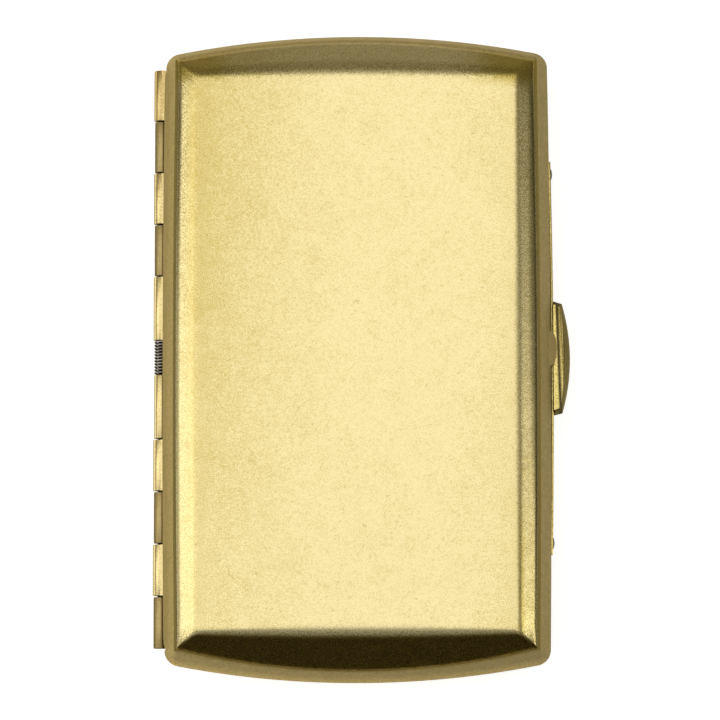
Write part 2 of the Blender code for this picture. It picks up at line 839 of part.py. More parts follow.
clear_scene()
case = new_collection("cigarette_case")
cutters = new_collection("cutters")

pivot_places = {
    "lid_axis": (hinge_x, 0.0, parting),
    "thumb_axis": (thumb_back(strip_drop), 0.0, parting - strip_drop),
    "base_arm_axis": arm_pivot_place(-1),
    "lid_arm_axis": arm_pivot_place(1),
}
lid_axis = pivot("lid_axis", pivot_places["lid_axis"])
thumb_axis = pivot("thumb_axis", pivot_places["thumb_axis"])
base_arm_axis = pivot("base_arm_axis", pivot_places["base_arm_axis"])
lid_arm_axis = pivot("lid_arm_axis", pivot_places["lid_arm_axis"], lid_axis)

notch = cutter_from_mesh("hinge_notch", boxes("hinge_notch", [
    ((hinge_x - overrun, -barrel_half - notch_clearance, parting - notch_half),
     (leaf_face(notch_half), barrel_half + notch_clearance, parting + notch_half))]))
rivet_holes = make_rivet_holes()

base_shell = half_shell("base_shell", -1, brass)
for tool in (notch, rivet_holes, hook_window()):
    boolean(base_shell, tool, "DIFFERENCE")
lid_shell = half_shell("lid_shell", 1, brass)
boolean(lid_shell, notch, "DIFFERENCE")
boolean(lid_shell, lid_lip(), "UNION")

base_leaf = hinge_leaf("base_hinge_leaf", base_knuckle_radius, -1, dull_brass)
boolean(base_leaf, knuckle_seam(), "DIFFERENCE")
lid_leaf = hinge_leaf("lid_hinge_leaf", lid_knuckle_radius, 1, brass)
hinge_pin()
hinge_spring()

latch_strip()
latch_rivet("latch_rivet_right", 1)
latch_rivet("latch_rivet_left", -1)
thumb = thumb_piece()
hook = latch_hook()
tongue = lid_catch()

retainer_lug("base_retainer_lug_right", -1, 1)
retainer_lug("base_retainer_lug_left", -1, -1)
lid_lug_right = retainer_lug("lid_retainer_lug_right", 1, 1)
lid_lug_left = retainer_lug("lid_retainer_lug_left", 1, -1)
retainer_pin("base_retainer_pin", -1)
lid_arm_pin = retainer_pin("lid_retainer_pin", 1)
base_arm = retainer_arm("base_retainer_arm", -1)
lid_arm = retainer_arm("lid_retainer_arm", 1)
retainer_spring("base_retainer_spring", -1)
lid_arm_spring = retainer_spring("lid_retainer_spring", 1)

for part in (lid_shell, lid_leaf, tongue, lid_lug_right, lid_lug_left, lid_arm_pin, lid_arm_spring):
    hang(part, lid_axis)
for part in (thumb, hook):
    hang(part, thumb_axis)
hang(base_arm, base_arm_axis)
hang(lid_arm, lid_arm_axis)
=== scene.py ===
import math
from collections import namedtuple

import bmesh
import bpy
from mathutils import Matrix, Vector


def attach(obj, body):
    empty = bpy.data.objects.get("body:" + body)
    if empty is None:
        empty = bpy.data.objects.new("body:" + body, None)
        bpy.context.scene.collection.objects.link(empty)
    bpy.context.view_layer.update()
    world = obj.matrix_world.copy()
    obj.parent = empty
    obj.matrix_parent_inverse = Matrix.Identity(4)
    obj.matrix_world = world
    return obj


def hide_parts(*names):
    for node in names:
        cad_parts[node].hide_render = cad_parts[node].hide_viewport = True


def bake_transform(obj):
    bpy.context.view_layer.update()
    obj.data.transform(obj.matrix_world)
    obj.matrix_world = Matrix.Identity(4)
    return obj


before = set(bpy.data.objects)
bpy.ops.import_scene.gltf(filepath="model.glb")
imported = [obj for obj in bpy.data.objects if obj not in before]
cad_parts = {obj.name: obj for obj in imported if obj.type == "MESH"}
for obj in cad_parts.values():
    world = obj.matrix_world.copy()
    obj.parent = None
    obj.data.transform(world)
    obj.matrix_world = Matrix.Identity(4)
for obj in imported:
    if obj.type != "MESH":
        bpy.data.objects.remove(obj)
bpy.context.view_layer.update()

# Sizes in metres: those of the part's source, and of the finer forms made here
body_length = 0.0970
body_width = 0.0579
half_height = 0.0090
sheet = 0.0006
rim_gap = 0.0003
side_bow = 0.0003
end_radius = 0.1420
corner_radius = 0.0024
draft = math.tan(math.radians(15.0))
wall_draft = math.radians(15.0)
face_x = 0.0474 / 2
face_y = 0.0828 / 2
face_end_radius = 10.0
face_corner_radius = 0.0006
far_face_bow = 0.0008
near_face_bow = 0.0001
least_corner = 0.0002
side_slope = math.radians(24.0)
end_slope = math.radians(33.7)
edge_radius = 0.0022
side_crease = 0.0044
end_crease = 0.0052
crown = 0.00012
crown_power = 8
small_bevel = 0.00006

lip_width = 0.0053
lip_reach = 0.00094
lip_rise = 0.0017
lip_offset = 0.0012
lip_root = 0.00045
lip_gap = 0.00005
lip_under = 0.0003
lip_edge_start = 0.00012
lip_edge_end = 0.00030
lip_tuck = 0.0001
lip_roundness = 2.4
lip_flare = 2.2
bead_drop = 0.00016
bead_rise = 0.0008
bead_root = 0.00030
bead_proud = 0.00004
bead_squareness = 60
least_swell = 0.001

barrel_outset = 0.00031
lid_knuckle_radius = 0.00110
base_knuckle_radius = 0.00098
bore_radius = 0.00048
knuckle_length = 0.0076
middle_knuckle_length = 0.0095
knuckle_gap = 0.0002
knuckles_each_way = 5
knuckle_chamfer = 0.00010
knuckle_chamfer_bend = 0.3
seam_depth = 0.00004
seam_spread = 0.10
lid_seam = math.radians(310.0)
base_seam = math.radians(262.0)
web_trim = 0.00003
spring_room = 0.0052
leaf_thickness = 0.0005
leaf_height = 0.0045
leaf_gap = 0.00015
leaf_bevel = 0.00008
notch_clearance = 0.0003
spring_slot_width = 0.0056
spring_slot_height = 0.0036
coil_radius = 0.00086
coil_wire = 0.00026
coil_turns = 10.5
coil_end_room = 0.0001
coil_leg_height = 0.0030
coil_leg_gap = 0.0002

strip_length = 0.0590
strip_height = 0.0030
strip_thickness = 0.0003
strip_bow = 0.0002
strip_gap = 0.00010
strip_drop = 0.0021
strip_split = 0.00003
rivet_spacing = 0.0554
rivet_hole_radius = 0.00065
rivet_head_radius = 0.00115
rivet_head_height = 0.00045
rivet_shank_radius = 0.00050
rivet_tail_radius = 0.00090
rivet_tail_height = 0.00030
rivet_seat = 0.00010
thumb_length = 0.0173
thumb_height = 0.0045
thumb_drop = 0.0003
thumb_seat = 0.00015
ledge_inset = 0.00036
thumb_end_reach = 0.00160
thumb_bulge = 0.00130
thumb_edge = 0.00025
thumb_end_round = 0.0011
thumb_blunt_share = 0.95
groove_place = 0.00100
groove_width = 0.00030
groove_depth = 0.0007
groove_lean = math.radians(1.8)
hook_drop = 0.0039
hook_thickness = 0.0005
window_depth = 0.00255
window_half = 0.0023
window_clearance = 0.0003

arm_pivot_inset = 0.00335
arm_pivot_depth = 0.0010
arm_length = 0.0480
arm_width = 0.0088
arm_thickness = 0.0005
arm_eye_radius = 0.00080
arm_bore_radius = 0.00045
arm_lip_rise = 0.00045
arm_lip_length = 0.0009
arm_floor_gap = 0.0003
arm_slot_width = 0.0032
arm_slot_length = 0.0030
arm_corner = 0.0010
arm_cut_depth = 0.006
arm_wire = 0.00028
arm_coil_radius = 0.00062
arm_coil_turns = 4.25
arm_coil_pitch = 0.00055
arm_leg_length = 0.0046
arm_leg_dip = 0.00035
arm_knee_dip = 0.00010
arm_wall_leg = 0.0018

parting = half_height
half_width = body_width / 2
rim_half = rim_gap / 2
barrel_half = (spring_room / 2 + middle_knuckle_length + (knuckles_each_way - 1) * knuckle_length
               + (knuckles_each_way - 1) * knuckle_gap)
hinge_x = -half_width - barrel_outset
leaf_root = -half_width + side_bow + sheet + leaf_gap
notch_half = lid_knuckle_radius + notch_clearance
strip_stand = strip_gap + strip_bow + strip_thickness
arm_pivot_x = -half_width + arm_pivot_inset
quarter_turn = math.pi / 2
whole_turn = 2 * math.pi
over = 0.0010
smooth_angle = math.radians(32.0)

# Steps of the rounded forms, and where the shells' profile has its points
side_steps, corner_steps, end_steps = 16, 8, 30
edge_steps, crease_steps = 10, 8
wall_shares = (0.0, 0.04, 0.35, 0.7, 0.95)
facet_shares = (0.08, 0.3, 0.6, 0.92)
face_shares = (0.02, 0.06, 0.12, 0.2, 0.32, 0.48, 0.7, 1.0)
middle_x_share, middle_y_share = 0.4, 0.6
edge_rounds = 24
outline_step, outline_count = 0.0002, 16
round_sides, rivet_sides, eye_steps = 64, 40, 40
bead_steps, lip_steps, flare_steps = 80, 40, 8
strip_steps, head_steps, tail_steps = 24, 12, 6
thumb_steps, thumb_levels, arm_corner_steps = 40, 16, 8
turn_steps = 24
wire_rounding = 3
bevel_steps = 2

Form = namedtuple("Form", "half_width half_length end_radius corner top face_x face_y edge creases")
outer_form = Form(half_width, body_length / 2, end_radius, corner_radius, half_height, face_x, face_y,
                  edge_radius, (side_crease, end_crease))
inner_form = Form(half_width - sheet, body_length / 2 - sheet, end_radius - sheet, corner_radius - sheet,
                  half_height - sheet, face_x - sheet * math.tan(side_slope / 2),
                  face_y - sheet * math.tan(end_slope / 2), edge_radius - sheet,
                  (side_crease - sheet, end_crease - sheet))

# Noises of the metals: ripples per metre, detail, roughness and distortion
cloud_noise = (95.0, 3.0, 0.55, 0.4)
patch_noise = (420.0, 4.0, 0.60, 0.6)
fine_noise = (1700.0, 3.0, 0.65)
dust_noise = (6200.0, 1.0)
fleck_noise = (2600.0, 1.0)
fleck_field_noise = (260.0, 2.0, 0.6)
curl_noise = (520.0, 1.0, 0.3, 1.4)
curl_field_noise = (900.0, 1.0)

# Where the shells are aged, dull or dark, much of it painted shade: ranges of place or direction, then the
# shares at both ends
shade_left = (-0.0268, -0.0236)
shade_left_along = (-face_y, face_y, 0.6, 1.4)
shade_right_along = (-0.045, 0.0, 0.34, 0.22)
shade_corner = (face_y - 0.0026, face_y + 0.0002)
shade_corner_across = (0.30, 0.90)
shade_crease_x = face_x + 0.00035
shade_crease = (0.0, 0.0008, 0.50, 0.0)
shade_crease_along = (-0.005, -0.035)
bend_lines = ((1, 0.0262, 0.0256, -0.040, 0.005), (-1, 0.0266, 0.0259, 0.0, 0.040))
bend_width = (-0.00045, 0.00050, 0.0, 0.74)
bend_far_end = (0.0375, 0.0425, 1.0, 0.35)
mottle_bow, mottle_shift = 0.0009, -0.0003
mottle_far = (face_y - 0.0010, face_y + 0.0003)
mottle_far_fade = (face_y + 0.0006, face_y + 0.0020, 1.0, 0.18)
mottle_right = (face_x - 0.0004, face_x + 0.0008)
mottle_right_along = (-0.010, face_y, 0.22, 0.74)
mottle_left = (-face_x - 0.0006, -face_x - 0.0022)
mottle_left_along = (-0.010, face_y, 0.25, 1.0)
mottle_near = (-face_y + 0.0013, -face_y - 0.0005)
outer_side = (-0.002, 0.002)
warm_facing = (-0.30, -0.46, 0.0, 0.9)
side_over_end = (-0.15, 0.25)
near_or_far = (-0.1, 0.1)
side_steep, side_gentle = 0.275, 0.345
near_steep, far_steep = 0.36, 0.74
near_gentle, far_gentle = 0.70, 0.84
line_slant = (0.675, 0.735, 0.94, 0.0)
line_near = (-0.30, -0.10, 1.0, 0.0)
far_bend_start = (0.62, 0.80, 0.0, 0.20)
far_bend_end = (0.90, 0.965, 1.0, 0.3)
wall_painted_light = (-0.5, 0.5, 1.20, 0.86)
near_wall_facing = (-0.50, -0.80)
near_wall_painted_light = (0.0, 0.0042, 1.34, 0.88)
knuckle_age_along = (0.016, 0.036)


# Materials
class Nodes:
    """Short ways to add nodes to one material and join them."""

    def __init__(self, tree):
        self.tree = tree

    def add(self, kind, inputs=(), **settings):
        node = self.tree.nodes.new(kind)
        for key, value in settings.items():
            setattr(node, key, value)
        for key, value in dict(inputs).items():
            self.put(node.inputs[key], value)
        return node

    def put(self, socket, value):
        if isinstance(value, bpy.types.NodeSocket):
            self.tree.links.new(value, socket)
        else:
            socket.default_value = value

    def math(self, operation, first, second=0.0, third=0.0, clamp=False):
        node = self.add("ShaderNodeMath", operation=operation, use_clamp=clamp)
        for socket, value in zip(node.inputs, (first, second, third)):
            self.put(socket, value)
        return node.outputs[0]

    def plus(self, first, second, clamp=False):
        return self.math("ADD", first, second, clamp=clamp)

    def minus(self, first, second, clamp=False):
        return self.math("SUBTRACT", first, second, clamp=clamp)

    def times(self, first, second):
        return self.math("MULTIPLY", first, second)

    def most(self, first, second):
        return self.math("MAXIMUM", first, second)

    def least(self, first, second):
        return self.math("MINIMUM", first, second)

    def size(self, value):
        return self.math("ABSOLUTE", value)

    def axes(self, place):
        return self.add("ShaderNodeSeparateXYZ", {0: place}).outputs

    def ramp(self, value, low, high, low_out=0.0, high_out=1.0):
        """A smooth step of the value from low to high."""
        node = self.add("ShaderNodeMapRange", interpolation_type="SMOOTHSTEP")
        for key, given in (("Value", value), ("From Min", low), ("From Max", high), ("To Min", low_out),
                           ("To Max", high_out)):
            self.put(node.inputs[key], given)
        return node.outputs["Result"]

    def noise(self, place, scale, detail=2.0, rough=0.5, twist=0.0):
        node = self.add("ShaderNodeTexNoise", {"Vector": place, "Scale": scale, "Detail": detail,
                                               "Roughness": rough, "Distortion": twist})
        return node.outputs["Fac"]

    def mix(self, share, first, second, way="MIX"):
        node = self.add("ShaderNodeMix", data_type="RGBA", blend_type=way)
        self.put(node.inputs["Factor"], share)
        self.put(node.inputs[6], first)
        self.put(node.inputs[7], second)
        return node.outputs[2]

    def bump(self, height, distance, strength=1.0, below=None):
        node = self.add("ShaderNodeBump", {"Height": height, "Distance": distance, "Strength": strength})
        if below is not None:
            self.put(node.inputs["Normal"], below)
        return node.outputs["Normal"]


def rgba(colour):
    return (*colour, 1.0)


def painted_face_shade(nodes, at):
    """Painted shade, mixed into the aged colour: darker towards the hinge side, most at its far corner,
    towards the other side, in the face's far corners, and in a band along the lower part of the right
    crease.
    """
    across = nodes.math("DIVIDE", at["X"], face_x)
    left = nodes.most(nodes.math("DIVIDE", at["X"], -face_x), 0.0)
    left = nodes.times(nodes.math("POWER", left, 1.5), 0.50)
    left = nodes.times(left, nodes.ramp(at["Y"], *shade_left_along))
    left = nodes.least(nodes.times(left, nodes.ramp(at["X"], *shade_left)), 0.75)
    right = nodes.least(nodes.most(across, 0.0), 1.2)
    right = nodes.times(nodes.math("POWER", right, 5.0), nodes.ramp(at["Y"], *shade_right_along))
    corner = nodes.times(nodes.ramp(at["Y"], *shade_corner),
                         nodes.ramp(nodes.times(across, across), *shade_corner_across))
    crease = nodes.ramp(nodes.size(nodes.minus(at["X"], shade_crease_x)), *shade_crease)
    crease = nodes.times(crease, nodes.ramp(at["Y"], *shade_crease_along))
    return nodes.plus(nodes.most(left, corner), nodes.plus(right, crease))


def bend_shade(nodes, at):
    """The painted shade line along the outer bends of both long sides, which runs a little aslant."""
    shades = []
    for way, near_x, far_x, near_y, far_y in bend_lines:
        out = nodes.minus(nodes.times(at["X"], way), nodes.ramp(at["Y"], near_y, far_y, near_x, far_x))
        shades.append(nodes.ramp(out, *bend_width))
    return nodes.times(nodes.most(*shades), nodes.ramp(at["Y"], *bend_far_end))


def grain_and_shade_field(nodes, at):
    """Where the dark grain gathers, and with it painted shade: over the end creases and down the upper part
    of both sides.
    """
    across = nodes.math("DIVIDE", at["X"], face_x)
    reach = nodes.math("MULTIPLY_ADD", nodes.times(across, across), mottle_bow, mottle_shift)
    far = nodes.times(nodes.ramp(nodes.plus(at["Y"], reach), *mottle_far),
                      nodes.ramp(at["Y"], *mottle_far_fade))
    right = nodes.times(nodes.ramp(at["X"], *mottle_right), nodes.ramp(at["Y"], *mottle_right_along))
    left = nodes.times(nodes.ramp(at["X"], *mottle_left), nodes.ramp(at["Y"], *mottle_left_along))
    near = nodes.times(nodes.ramp(at["Y"], *mottle_near), 0.95)
    return nodes.most(nodes.most(far, right), nodes.most(left, near))


def groove_field(nodes, at):
    """Painted shade in the thumb piece's groove and on the edges beside it."""
    top = half_height - thumb_drop
    off = nodes.minus(at["X"], half_width + groove_place + groove_width / 2)
    off = nodes.size(nodes.math("MULTIPLY_ADD", at["Y"], math.tan(groove_lean), off))
    inside = nodes.times(nodes.ramp(off, groove_width * 0.45, groove_width * 1.10, 0.80, 0.0),
                         nodes.ramp(at["Z"], top - 0.00012, top - 0.00002, 1.0, 0.0))
    return nodes.most(inside, nodes.ramp(off, groove_width * 0.5, groove_width * 1.4, 0.55, 0.0))


def metal(name, clean, aged, deep, tarnish, roughness=0.26, grain=0.35, scratches=0.4, walls=0.0,
          field=False, specks=0.35, dark_ends=0.0, matte=0.0, wall_slant=(0.68, 0.78), far_age=0.0,
          sides=((0.605, 0.465, 0.180), (0.425, 0.325, 0.115)), groove=False, shift=0.0):
    """A worn metal: clean and aged colours in clouds, grain, specks, hairlines and, where asked, dull walls
    with painted shade.

    walls is how dull the steep sides are, and their darker side colours are painted shade, and field adds
    what belongs to the two shells alone, much of it painted shade. dark_ends and groove paint shade too."""
    material = bpy.data.materials.new(name)
    material.use_nodes = True
    nodes = Nodes(material.node_tree)
    shader = material.node_tree.nodes["Principled BSDF"]
    coordinates = nodes.add("ShaderNodeTexCoord").outputs
    at = nodes.axes(coordinates["Object"])
    facing = nodes.axes(coordinates["Normal"])
    place = nodes.add("ShaderNodeVectorMath", {0: coordinates["Object"], 1: (shift, shift, shift)},
                      operation="ADD").outputs[0]
    clouds = nodes.noise(place, *cloud_noise)
    patches = nodes.noise(place, *patch_noise)
    fine = nodes.noise(place, *fine_noise)
    dust = nodes.noise(place, *dust_noise)
    flecks = nodes.noise(place, *fleck_noise)
    fleck_level = nodes.ramp(nodes.noise(place, *fleck_field_noise), 0.35, 0.65, 0.80, 0.70)
    speck = nodes.ramp(flecks, fleck_level, nodes.plus(fleck_level, 0.03))
    curl = nodes.size(nodes.minus(nodes.noise(place, *curl_noise), 0.5))
    hair = nodes.times(nodes.ramp(curl, 0.004, 0.014, 1.0, 0.0),
                       nodes.ramp(nodes.noise(place, *curl_field_noise), 0.57, 0.63))

    age = nodes.times(nodes.ramp(clouds, 0.30, 0.72), 0.30)
    age = nodes.plus(age, nodes.times(nodes.ramp(patches, 0.38, 0.75), 0.40))
    age = nodes.plus(age, nodes.times(nodes.minus(fine, 0.5), grain * 4.0))
    age = nodes.plus(age, nodes.times(nodes.minus(dust, 0.5), grain * 17.0))
    age = nodes.times(age, tarnish)
    # Painted shade across the shells goes into the aged colour here.
    if field:
        age = nodes.plus(age, painted_face_shade(nodes, at))
    if far_age:
        age = nodes.plus(age, nodes.ramp(at["Y"], *knuckle_age_along, 0.0, far_age))
    colour = nodes.mix(nodes.most(nodes.least(age, 1.0), 0.0), rgba(clean), rgba(aged))
    spot = nodes.plus(nodes.times(speck, specks), nodes.times(hair, scratches * 0.4), clamp=True)
    colour = nodes.mix(spot, colour, nodes.mix(0.55, rgba(aged), rgba(deep)))

    dark = 0.0
    # Painted shade: faces turned towards either end are darkened towards the deep colour.
    if dark_ends:
        dark = nodes.ramp(nodes.size(facing["Y"]), 0.30, 0.60, 0.0, dark_ends)
    if field:
        outward = nodes.math("MULTIPLY_ADD", facing["X"], at["X"], nodes.times(facing["Y"], at["Y"]))
        outward = nodes.ramp(outward, *outer_side)
        # Real dark grain, which where it gathers also paints shade on the bevels and the near end.
        mottle = nodes.plus(nodes.times(dust, 0.85), nodes.times(fine, 0.15))
        dark = nodes.times(nodes.ramp(mottle, 0.42, 0.66, 0.0, 0.78), grain_and_shade_field(nodes, at))
        # Painted shade: outer faces turned towards the near end get a darker, warmer colour.
        warm = nodes.times(outward, nodes.ramp(facing["Y"], *warm_facing))
        colour = nodes.mix(warm, colour, rgba((0.58, 0.36, 0.05)))
    colour = nodes.mix(dark, colour, rgba(deep))

    gloss = nodes.plus(roughness - 0.05, nodes.times(fine, 0.06))
    gloss = nodes.plus(gloss, nodes.times(patches, 0.04))
    gloss = nodes.plus(gloss, nodes.times(dark, 0.10))
    if walls:
        slant = nodes.plus(nodes.size(facing["Z"]), nodes.times(nodes.minus(fine, 0.5), 0.05))
        steep, gentle = wall_slant
        if field:
            sideways = nodes.minus(nodes.size(facing["X"]), nodes.size(facing["Y"]))
            sideways = nodes.ramp(sideways, *side_over_end)
            end_steep = nodes.ramp(facing["Y"], *near_or_far, near_steep, far_steep)
            end_gentle = nodes.ramp(facing["Y"], *near_or_far, near_gentle, far_gentle)
            steep = nodes.math("MULTIPLY_ADD", sideways, nodes.minus(side_steep, end_steep), end_steep)
            gentle = nodes.math("MULTIPLY_ADD", sideways, nodes.minus(side_gentle, end_gentle), end_gentle)
            # Painted shade: a dark line where the outer bends turn steep, and the aslant shade line along
            # both long sides.
            line = nodes.most(nodes.ramp(slant, *line_slant), nodes.times(sideways, bend_shade(nodes, at)))
            line_where = nodes.times(nodes.most(sideways, nodes.ramp(facing["Y"], *line_near)), outward)
            colour = nodes.mix(nodes.times(line_where, line), colour, rgba((0.105, 0.078, 0.024)))
        # The steep sides turn matte, and their darker side colours are painted shade, blotched by the grain.
        wall = nodes.ramp(slant, steep, gentle, walls, 0.0)
        blotch = nodes.plus(nodes.times(fine, 1.6), nodes.times(patches, 1.2))
        blotch = nodes.plus(blotch, nodes.times(flecks, 3.2))
        blotch = nodes.minus(nodes.plus(blotch, nodes.times(dust, 5.0)), 5.0, clamp=True)
        colour = nodes.mix(wall, colour, nodes.mix(blotch, rgba(sides[0]), rgba(sides[1])))
        if field:
            # Painted shade: a dark band on the bend turned towards the far end.
            far_bend = nodes.times(nodes.ramp(facing["Y"], *far_bend_start),
                                   nodes.ramp(facing["Y"], *far_bend_end))
            colour = nodes.mix(far_bend, colour, rgba(deep))
            # Painted light and shade: walls facing the hinge side are lighter, those facing the other side
            # darker.
            colour = nodes.mix(wall, colour, nodes.ramp(facing["X"], *wall_painted_light), "MULTIPLY")
            # Painted light: walls facing the near end are lighter near the parting and darker away from it.
            height = nodes.size(nodes.minus(at["Z"], parting))
            near_wall = nodes.times(wall, nodes.ramp(facing["Y"], *near_wall_facing))
            colour = nodes.mix(near_wall, colour, nodes.ramp(height, *near_wall_painted_light), "MULTIPLY")
        gloss = nodes.plus(gloss, nodes.times(wall, 0.42))
        nodes.put(shader.inputs["Metallic"], nodes.minus(1.0, nodes.times(wall, 0.6)))
    else:
        shader.inputs["Metallic"].default_value = 1.0 - matte
    if groove:
        # Painted shade on the dome's outer side, darker towards its far end, and in the groove.
        dome = nodes.times(nodes.ramp(facing["X"], 0.03, 0.30),
                           nodes.ramp(at["Y"], -thumb_length / 2, thumb_length / 4, 0.20, 0.80))
        colour = nodes.mix(dome, colour, rgba((0.25, 0.195, 0.060)))
        colour = nodes.mix(groove_field(nodes, at), colour, rgba((0.06, 0.045, 0.018)))

    nodes.put(shader.inputs["Base Color"], colour)
    nodes.put(shader.inputs["Roughness"], gloss)
    shader.inputs["Specular IOR Level"].default_value = 0.15
    tint = (0.78, 0.68, 0.45) if walls or matte else (1.0, 1.0, 1.0)
    shader.inputs["Specular Tint"].default_value = rgba(tint)
    normal = nodes.bump(clouds, 0.0008, 0.10)
    normal = nodes.bump(fine, 0.000005, 0.9, normal)
    normal = nodes.bump(dust, 0.000006, 0.9, normal)
    normal = nodes.bump(nodes.plus(hair, speck), 0.000002, -0.6, normal)
    nodes.put(shader.inputs["Normal"], normal)
    return material


brass_deep = (0.150, 0.100, 0.028)
# The shells' material carries painted shade as well as wear. The lip's and bead's darker matte colours are
# painted shade, the bead's a lighter copy for the better-lit hinge side.
shell_brass = metal("shell_brass_worn_painted_shade", (0.940, 0.808, 0.425), (0.610, 0.470, 0.125), (0.200, 0.150, 0.020),
                    tarnish=0.30, scratches=0.9, walls=0.96, field=True, specks=0.30)
lip_brass = metal("lip_brass_worn_painted_shade", (0.54, 0.415, 0.165), (0.39, 0.295, 0.105), (0.22, 0.16, 0.05),
                  tarnish=0.6, roughness=0.66, matte=0.6, shift=2.1)
bead_brass = metal("bead_brass_worn_painted_shade", (0.62, 0.480, 0.190), (0.46, 0.350, 0.130), (0.25, 0.185, 0.05),
                   tarnish=0.6, roughness=0.66, matte=0.6, shift=2.7)
hinge_bright = metal("hinge_brass_bright", (0.93, 0.76, 0.37), (0.62, 0.45, 0.17), brass_deep, tarnish=0.5,
                     walls=0.92, sides=((0.36, 0.275, 0.12), (0.27, 0.205, 0.085)), far_age=0.8, shift=0.3,
                     wall_slant=(0.34, 0.56))
hinge_olive = metal("hinge_brass_olive", (0.56, 0.43, 0.19), (0.38, 0.28, 0.10), brass_deep, tarnish=0.5,
                    roughness=0.40, walls=0.92, sides=((0.38, 0.29, 0.125), (0.29, 0.22, 0.09)), shift=0.6)
latch_brass = metal("latch_brass", (0.93, 0.77, 0.29), (0.50, 0.36, 0.08), (0.035, 0.026, 0.012),
                    tarnish=0.55, grain=0.6, dark_ends=0.96, walls=0.96,
                    sides=((0.40, 0.32, 0.11), (0.27, 0.21, 0.07)), shift=0.9)
thumb_brass = metal("thumb_brass", (0.93, 0.77, 0.29), (0.50, 0.36, 0.08), (0.020, 0.015, 0.008),
                    tarnish=0.7, grain=0.8, dark_ends=0.97, walls=0.96,
                    sides=((0.35, 0.28, 0.095), (0.23, 0.18, 0.06)), groove=True, shift=3.0)
rivet_dark = metal("rivet_dark", (0.10, 0.075, 0.05), (0.06, 0.045, 0.03), (0.03, 0.02, 0.012), tarnish=0.8,
                   roughness=0.42, shift=1.2)
arm_brass = metal("arm_brass", (0.88, 0.74, 0.38), (0.60, 0.46, 0.18), brass_deep, tarnish=0.4,
                  roughness=0.27, shift=1.5)
spring_steel = metal("spring_steel_wire", (0.62, 0.575, 0.49), (0.34, 0.30, 0.23), (0.06, 0.05, 0.04),
                     tarnish=0.6, roughness=0.34, shift=1.8)
# Its steep sides take near-black side colours: painted shade between the coil's turns.
hinge_wire = metal("hinge_spring_wire", (0.66, 0.61, 0.52), (0.40, 0.35, 0.28), (0.06, 0.05, 0.04),
                   tarnish=0.5, roughness=0.34, walls=0.96, wall_slant=(0.40, 0.80),
                   sides=((0.050, 0.044, 0.038), (0.030, 0.027, 0.024)), shift=3.3)
# The pin's steel is dark, and made near black as painted shade so the gaps between the coil's turns read
# dark.
pin_steel_dark_with_painted_shade = metal("pin_steel_dark_with_painted_shade", (0.016, 0.014, 0.011), (0.010, 0.008, 0.006), (0.005, 0.004, 0.003),
                   tarnish=0.7, roughness=0.45, shift=2.4)


# Ways to make pieces
def new_object(name, data):
    made = bpy.data.objects.new(name, data)
    bpy.context.scene.collection.objects.link(made)
    return made


def piece(name, mesh, material, body, nodes=()):
    mesh.materials.clear()
    mesh.materials.append(material)
    mesh.shade_smooth()
    mesh.set_sharp_from_angle(angle=smooth_angle)
    made = new_object(name, mesh)
    if body:
        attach(made, body)
    if nodes:
        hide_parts(*nodes)
    return made


def mesh_of(name, bm):
    bmesh.ops.recalc_face_normals(bm, faces=bm.faces)
    mesh = bpy.data.meshes.new(name)
    bm.to_mesh(mesh)
    bm.free()
    return mesh


def settled(made):
    """The object's mesh with what modifies it made real."""
    return bpy.data.meshes.new_from_object(made.evaluated_get(bpy.context.evaluated_depsgraph_get()))


def settle(mesh, cuts=(), bevel_width=0.0):
    """The mesh with its cuts and bevel made real."""
    made = new_object("work", mesh)
    others = [new_object("work_other", cut) for cut in cuts]
    for other in others:
        modifier = made.modifiers.new("boolean", "BOOLEAN")
        modifier.operation = "DIFFERENCE"
        modifier.solver = "EXACT"
        modifier.object = other
    if bevel_width:
        modifier = made.modifiers.new("bevel", "BEVEL")
        modifier.width = bevel_width
        modifier.segments = bevel_steps
        modifier.limit_method = "ANGLE"
        modifier.angle_limit = smooth_angle
    result = settled(made)
    for other in [made, *others]:
        bpy.data.objects.remove(other, do_unlink=True)
    return result


def bridge(bm, ring, other):
    for index in range(len(ring)):
        bm.faces.new((ring[index - 1], ring[index], other[index], other[index - 1]))


def bridge_all(bm, rings):
    for ring, other in zip(rings, rings[1:]):
        bridge(bm, ring, other)


def loft(name, sections):
    """A closed form through the sections, each a list of places."""
    bm = bmesh.new()
    rings = [[bm.verts.new(place) for place in section] for section in sections]
    bridge_all(bm, rings)
    bm.faces.new(rings[0])
    bm.faces.new(rings[-1])
    return mesh_of(name, bm)


def plate(outline, thickness):
    """A flat outline in its own XY plane, with half the thickness on each side of it."""
    bm = bmesh.new()
    low = [bm.verts.new((x, y, -thickness / 2)) for x, y in outline]
    high = [bm.verts.new((x, y, thickness / 2)) for x, y in outline]
    bm.faces.new(low)
    bm.faces.new(high)
    bridge(bm, low, high)
    return mesh_of("plate", bm)


def add_box(bm, low, high):
    size = Vector(high) - Vector(low)
    middle = (Vector(high) + Vector(low)) / 2
    bmesh.ops.create_cube(bm, size=1.0, matrix=Matrix.Translation(middle) @ Matrix.Diagonal((*size, 1.0)))


def box(low, high):
    bm = bmesh.new()
    add_box(bm, low, high)
    return mesh_of("box", bm)


def rods(radius, length, centres, turn):
    bm = bmesh.new()
    for centre in centres:
        bmesh.ops.create_cone(bm, cap_ends=True, segments=round_sides, radius1=radius, radius2=radius,
                              depth=length, matrix=Matrix.Translation(centre) @ turn)
    return mesh_of("rods", bm)


def circle(radius, count):
    """Places round a circle, as pairs."""
    angles = [whole_turn * step / count for step in range(count)]
    return [(radius * math.cos(angle), radius * math.sin(angle)) for angle in angles]


